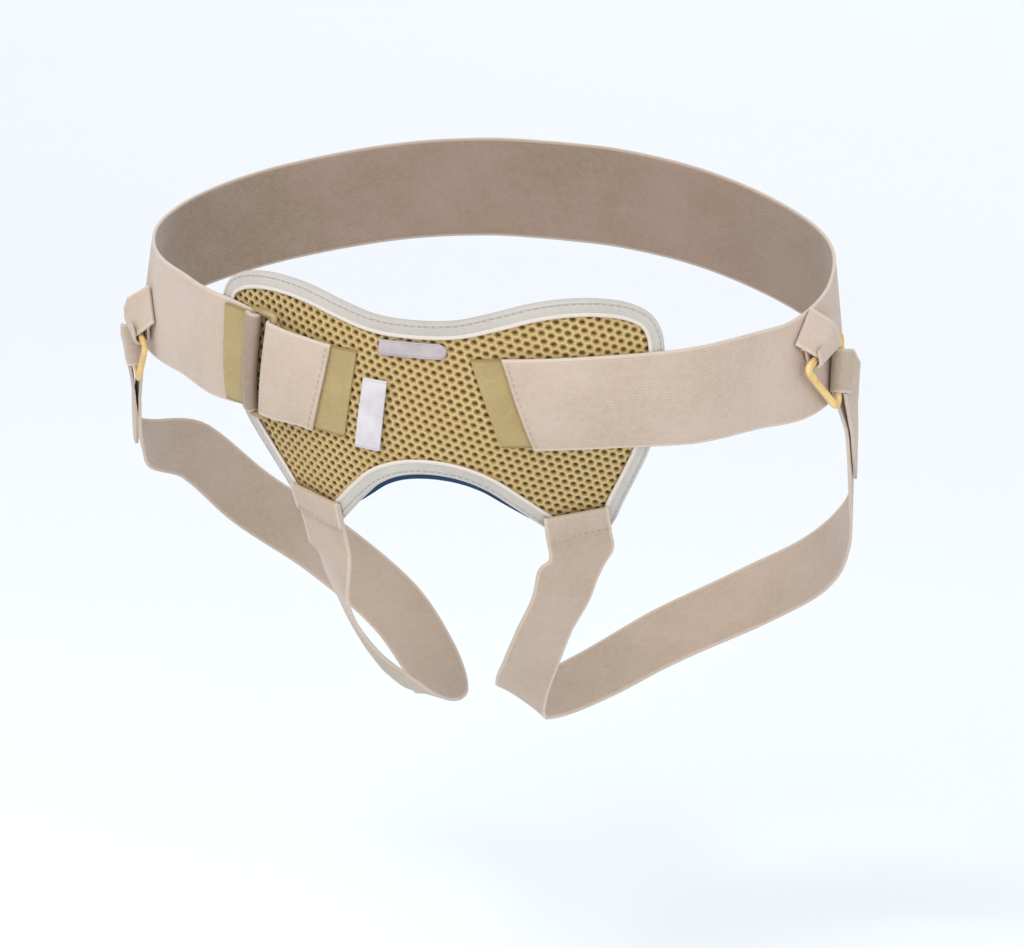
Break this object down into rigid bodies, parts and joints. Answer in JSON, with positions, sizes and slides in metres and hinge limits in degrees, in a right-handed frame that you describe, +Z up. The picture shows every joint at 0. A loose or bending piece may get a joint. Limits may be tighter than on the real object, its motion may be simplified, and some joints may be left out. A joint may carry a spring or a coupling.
{
  "type": "hernia belt",
  "caption": "Hernia belt in its worn form: a mesh panel over the groin, an elastic waist strap through a buckle ring, and leg straps up to rings on the hips.",
  "frame": {"origin": "middle of the wearer's hips, at the level of the waist strap's middle over the front", "axes": "+Z up along the wearer's body, the wearer faces -Y, +X to the wearer's left"},
  "size_m": [0.3757, 0.2507, 0.276],
  "materials": {
    "mesh_cloth": "matt spacer mesh",
    "blue_cloth": "matt brushed cloth",
    "white_tape": "soft woven tape",
    "elastic": "matt ribbed elastic",
    "hook_cloth": "matt hook tape",
    "satin": "satin",
    "khaki_plastic": "satin",
    "gold_plastic": "soft gloss"
  },
  "bodies": {
    "root": {"front_panel": "mesh_cloth", "back_lining": "blue_cloth", "panel_binding": "white_tape", "waist_strap": "elastic", "fold_hook_tab": "hook_cloth", "strap_ring": "khaki_plastic", "front_strap_right": "elastic", "hook_tab_left": "hook_cloth", "hook_tab_right": "hook_cloth", "pull_label": "satin", "centre_label": "satin", "leg_strap_left": "elastic", "leg_strap_right": "elastic", "hip_ring_left": "gold_plastic", "hip_ring_right": "gold_plastic", "ring_hanger_left": "elastic", "ring_hanger_right": "elastic"}
  },
  "joints": []
}
